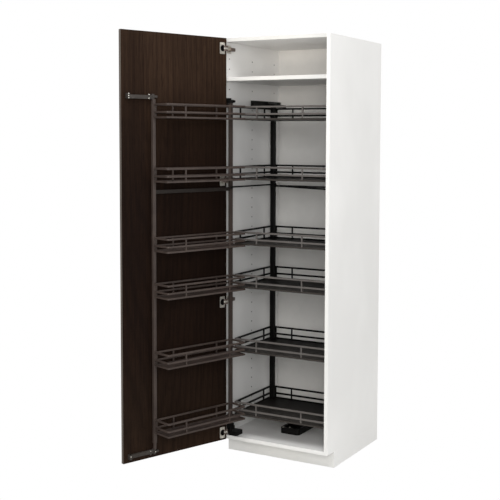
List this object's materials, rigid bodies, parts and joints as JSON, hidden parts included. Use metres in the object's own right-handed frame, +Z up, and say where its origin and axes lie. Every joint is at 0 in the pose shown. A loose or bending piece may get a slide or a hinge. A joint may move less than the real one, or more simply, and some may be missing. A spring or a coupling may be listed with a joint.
{
  "type": "pull out larder unit",
  "caption": "Tall kitchen larder cabinet with one dark door, a swing-out rack of shallow trays behind it and a pull-out frame of deep trays inside.",
  "frame": {"origin": "bottom centre of the part's box, on the floor, with the door and both racks open", "axes": "+X to the right along the front, +Y from the front into the cabinet, +Z up"},
  "size_m": [0.7848, 1.1702, 2.08],
  "materials": {
    "white_foil": "white melamine foil on particle board",
    "white_hardboard": "white lacquered hardboard",
    "dark_ash": "dark brown ash veneer, fine vertical grain",
    "tray_steel": "dark brown-grey powder coat",
    "black_steel": "near-black powder coat",
    "grey_steel": "dark grey powder coat",
    "nickel": "nickel plate",
    "black_plastic": "moulded black plastic"
  },
  "bodies": {
    "cabinet": {"back_panel": "white_hardboard", "bottom_panel": "white_foil", "fixed_shelf": "white_foil", "frame_runner_floor": "black_steel", "frame_runner_top": "black_steel", "hinge_arm_bottom": "nickel", "hinge_arm_middle": "nickel", "hinge_arm_top": "nickel", "leg_front_left": "black_plastic", "leg_front_right": "black_plastic", "leg_rear_left": "black_plastic", "leg_rear_right": "black_plastic", "plinth_front": "white_foil", "plinth_side_left": "white_foil", "plinth_side_right": "white_foil", "rack_bracket_bottom": "black_steel", "rack_bracket_top": "black_steel", "side_panel_left": "white_foil", "side_panel_right": "white_foil", "top_panel": "white_foil"},
    "hinge_links": {"hinge_link_bottom": "nickel", "hinge_link_middle": "nickel", "hinge_link_top": "nickel"},
    "door": {"door_panel": "dark_ash", "door_rail_bottom": "grey_steel", "door_rail_top": "grey_steel", "hinge_cup_bottom": "nickel", "hinge_cup_middle": "nickel", "hinge_cup_top": "nickel"},
    "rack": {"rack_crossbar": "black_steel", "rack_gallery_1": "tray_steel", "rack_gallery_2": "tray_steel", "rack_gallery_3": "tray_steel", "rack_gallery_4": "tray_steel", "rack_gallery_5": "tray_steel", "rack_gallery_6": "tray_steel", "rack_post_free": "tray_steel", "rack_post_hinge": "tray_steel", "rack_tray_1": "tray_steel", "rack_tray_2": "tray_steel", "rack_tray_3": "tray_steel", "rack_tray_4": "tray_steel", "rack_tray_5": "tray_steel", "rack_tray_6": "tray_steel"},
    "frame": {"coupling_rod": "black_steel", "frame_carriage_bottom": "black_steel", "frame_carriage_top": "black_steel", "frame_gallery_1": "tray_steel", "frame_gallery_2": "tray_steel", "frame_gallery_3": "tray_steel", "frame_gallery_4": "tray_steel", "frame_gallery_5": "tray_steel", "frame_gallery_6": "tray_steel", "frame_post": "black_steel", "frame_tray_1": "tray_steel", "frame_tray_2": "tray_steel", "frame_tray_3": "tray_steel", "frame_tray_4": "tray_steel", "frame_tray_5": "tray_steel", "frame_tray_6": "tray_steel"}
  },
  "joints": [
    {"name": "door_swing", "type": "hinge", "parent": "hinge_links", "child": "door", "pos_m": [-0.17248, -0.0358, 1], "axis": [0, 0, 1], "range_deg": [0, 175.5]},
    {"name": "link_swing", "type": "hinge", "parent": "cabinet", "child": "hinge_links", "pos_m": [-0.1713, -0.01009, 1], "axis": [0, 0, 1], "range_deg": [-65, 0]},
    {"name": "rack_swing", "type": "hinge", "parent": "cabinet", "child": "rack", "pos_m": [-0.1576, -0.00189, 1], "axis": [0, 0, 1], "range_deg": [0, 108.5]},
    {"name": "frame_slide", "type": "slide", "parent": "cabinet", "child": "frame", "axis": [0, 1, 0], "range_m": [0, 0.145]}
  ],
  "couplings": [
    {"joint": "door_swing", "follows": "rack_swing", "ratio": 1.6175},
    {"joint": "link_swing", "follows": "rack_swing", "ratio": -0.59908},
    {"joint": "frame_slide", "follows": "rack_swing", "m_per_rad": 0.07657}
  ]
}
